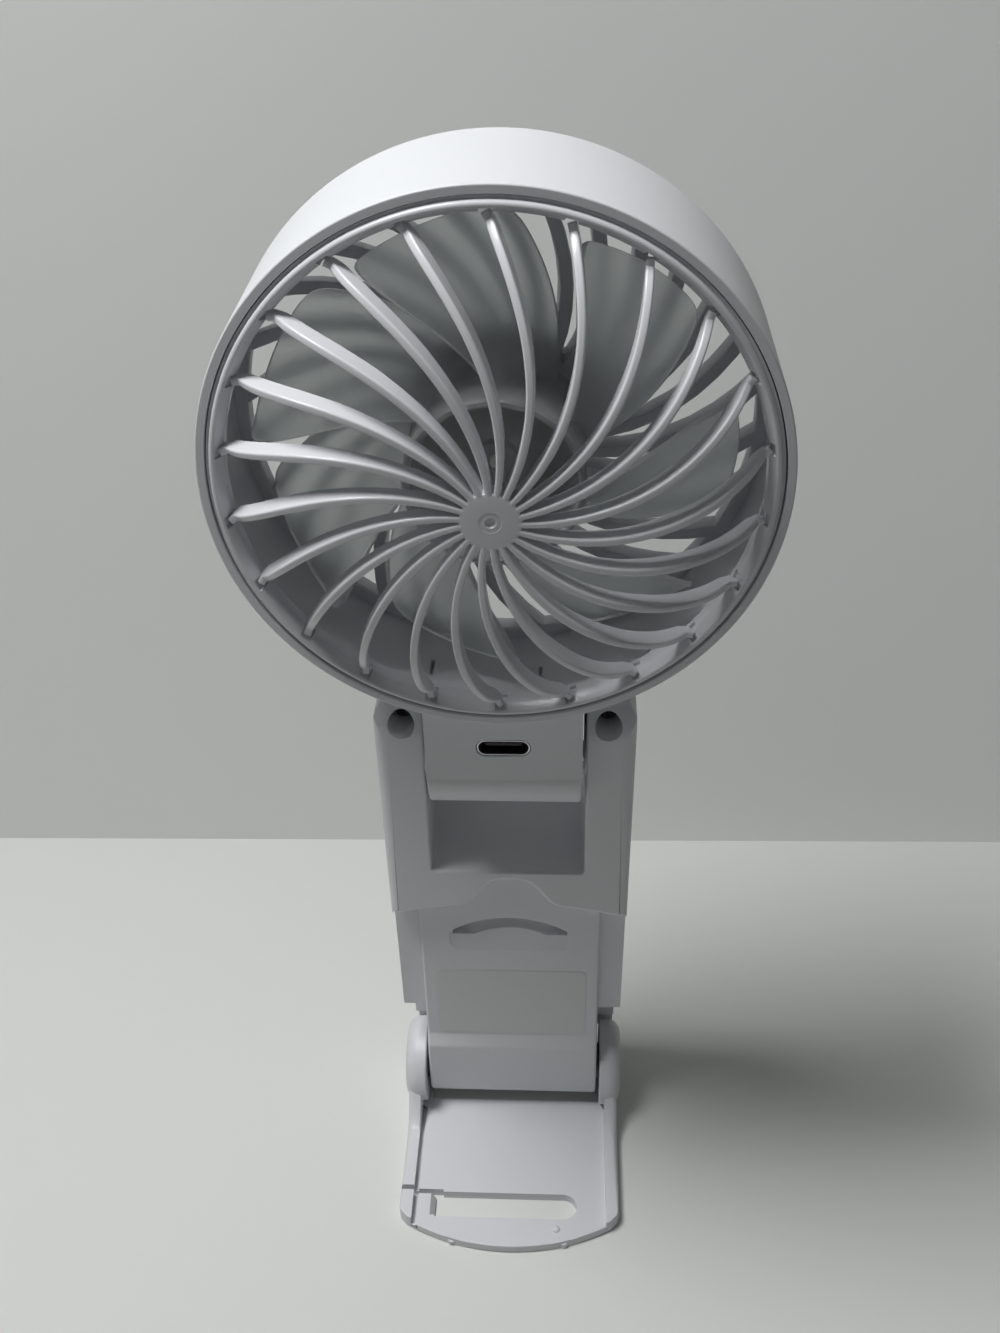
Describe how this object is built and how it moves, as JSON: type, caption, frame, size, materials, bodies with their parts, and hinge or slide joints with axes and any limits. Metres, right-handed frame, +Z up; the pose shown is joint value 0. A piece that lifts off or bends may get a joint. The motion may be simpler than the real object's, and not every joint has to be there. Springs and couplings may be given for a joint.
{
  "type": "folding handheld fan",
  "caption": "Pocket fan with a round grilled drum on a tilting neck, a flat forked handle with a charging port, and a fold-out base plate with a strap slot.",
  "frame": {"origin": "on the resting plane, on the centre line, straight below the stand's hinge line", "axes": "+X to the right as seen from the front, +Y from the grille to the rear, +Z up along the handle"},
  "size_m": [0.0832, 0.0516, 0.197],
  "materials": {
    "white_plastic": "fine satin texture",
    "grille_plastic": "satin, slightly pearly",
    "button_plastic": "satin",
    "smoky_plastic": "smoky translucent",
    "bright_steel": "plated",
    "dark_steel": "blackened",
    "magnet": "matt ferrite",
    "bearing_brass": "sintered",
    "stator_iron": "lacquered windings on iron",
    "circuit_board": "solder mask",
    "black_plastic": "moulded",
    "cell_wrap": "foil pouch",
    "foam": "foam",
    "chip_resin": "resin",
    "clear_plastic": "frosted clear",
    "label_paper": "matt film"
  },
  "bodies": {
    "handle": {"handle_front_shell": "white_plastic", "handle_rear_cover": "white_plastic", "cheek_screws": "dark_steel", "cover_screws": "bright_steel", "hinge_brackets": "bright_steel", "battery_cell": "cell_wrap", "battery_pad": "foam", "main_board": "circuit_board", "power_switch": "black_plastic", "indicator_chips": "chip_resin", "light_windows": "clear_plastic", "label_plate": "label_paper"},
    "head": {"drum_shell": "white_plastic", "front_grille": "grille_plastic", "rear_grille": "white_plastic", "motor_bearing": "bearing_brass", "motor_stator": "stator_iron", "motor_board": "circuit_board", "neck_front_shell": "white_plastic", "neck_rear_shell": "white_plastic", "neck_screws": "bright_steel", "port_shell": "bright_steel", "port_tongue": "black_plastic", "charge_board": "circuit_board", "hinge_pins": "bright_steel"},
    "rotor": {"fan_rotor": "smoky_plastic", "motor_shaft": "bright_steel", "rotor_magnet": "magnet"},
    "stand": {"stand_plate": "white_plastic", "stand_pin": "bright_steel", "stand_washers": "dark_steel"},
    "button": {"power_button": "button_plastic"}
  },
  "joints": [
    {"name": "head_tilt", "type": "hinge", "parent": "handle", "child": "head", "pos_m": [0, -0.00286, 0.095], "axis": [1, 0, 0], "range_deg": [-90, 90]},
    {"name": "blade_spin", "type": "hinge", "parent": "head", "child": "rotor", "pos_m": [0, -0.007, 0.1554], "axis": [0, 1, 0], "continuous": true},
    {"name": "stand_fold", "type": "hinge", "parent": "handle", "child": "stand", "pos_m": [0, 0, 0.0092], "axis": [-1, 0, 0], "range_deg": [0, 90]},
    {"name": "button_press", "type": "slide", "parent": "handle", "child": "button", "axis": [0, -1, 0], "range_m": [0, 0.0003], "stiffness_N_per_m": 3000}
  ]
}
